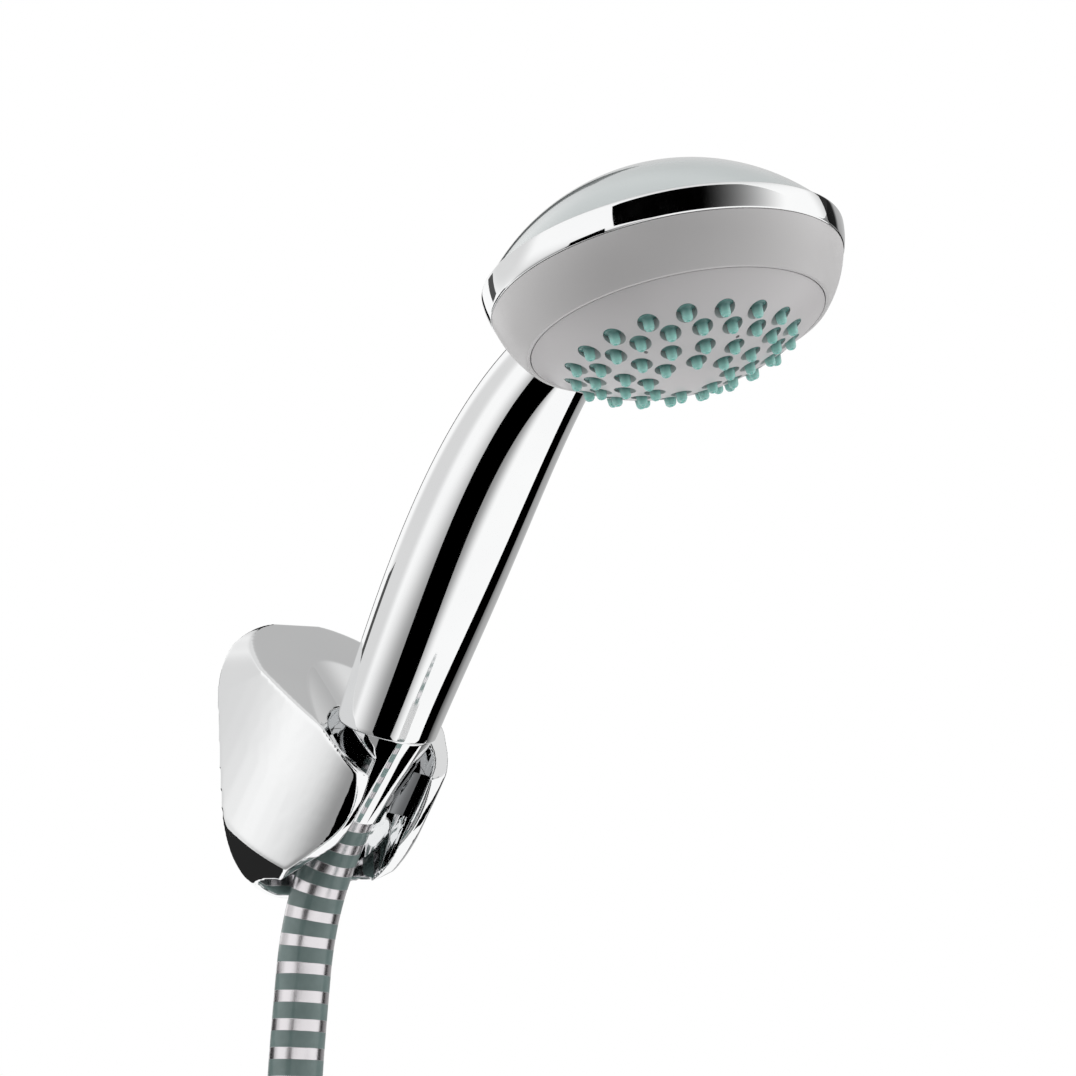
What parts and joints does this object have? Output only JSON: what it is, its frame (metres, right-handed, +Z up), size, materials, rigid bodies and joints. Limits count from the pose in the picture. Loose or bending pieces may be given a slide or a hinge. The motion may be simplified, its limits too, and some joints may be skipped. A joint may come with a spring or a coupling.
{
  "type": "handheld shower head",
  "caption": "Hand shower with a round spray head and bellied handle, resting in a conical wall holder, with its banded hose put away in a tied coil.",
  "frame": {"origin": "on the wall, on the back face of the holder's plate, midway up the holder", "axes": "+Z up, +Y into the wall, the shower reaches out towards -Y"},
  "size_m": [0.0868, 0.1852, 0.386],
  "materials": {
    "chrome_plate": "mirror plated",
    "pale_gloss": "gloss moulded",
    "pale_satin": "satin moulded",
    "nozzle_silicone": "translucent soft silicone",
    "hose_skin": "smooth clear skin over silver and grey bands",
    "tie_strap": "matte",
    "brass_parts": "turned",
    "seal_rubber": "matte",
    "engineering_plastic": "as moulded",
    "dark_liner": "satin"
  },
  "bodies": {
    "holder": {"wall_plate": "engineering_plastic", "holder_shell": "chrome_plate", "cradle_liner": "dark_liner"},
    "hose_line": {"hose": "hose_skin", "hose_coil": "hose_skin", "coil_tie": "tie_strap", "hose_tail": "hose_skin", "hose_ferrule_top": "chrome_plate", "hose_barb_top": "brass_parts", "hose_ferrule_end": "chrome_plate", "hose_barb_end": "brass_parts"},
    "outlet": {"outlet_nut": "chrome_plate", "outlet_washer": "seal_rubber"},
    "handset": {"cone_nut": "chrome_plate", "filter_washer": "seal_rubber", "inlet_connector": "engineering_plastic", "flow_limiter": "engineering_plastic", "handle_shell": "chrome_plate", "water_tube": "engineering_plastic", "rear_dome": "pale_gloss", "front_shell": "pale_satin", "spray_disc": "pale_satin", "nozzle_mat": "nozzle_silicone", "head_chamber": "engineering_plastic", "distributor_plate": "engineering_plastic", "chamber_seal": "seal_rubber"}
  },
  "joints": [
    {"name": "lift_out", "type": "slide", "parent": "holder", "child": "hose_line", "axis": [0, -0.6018, 0.7986], "range_m": [0, 0.03]},
    {"name": "handset_swivel", "type": "hinge", "parent": "hose_line", "child": "handset", "pos_m": [0, -0.03331, -0.00098], "axis": [0, -0.6018, 0.7986], "continuous": true},
    {"name": "outlet_spin", "type": "hinge", "parent": "hose_line", "child": "outlet", "pos_m": [0.0074, -0.1538, -0.238], "axis": [0, -1, 0], "continuous": true}
  ]
}
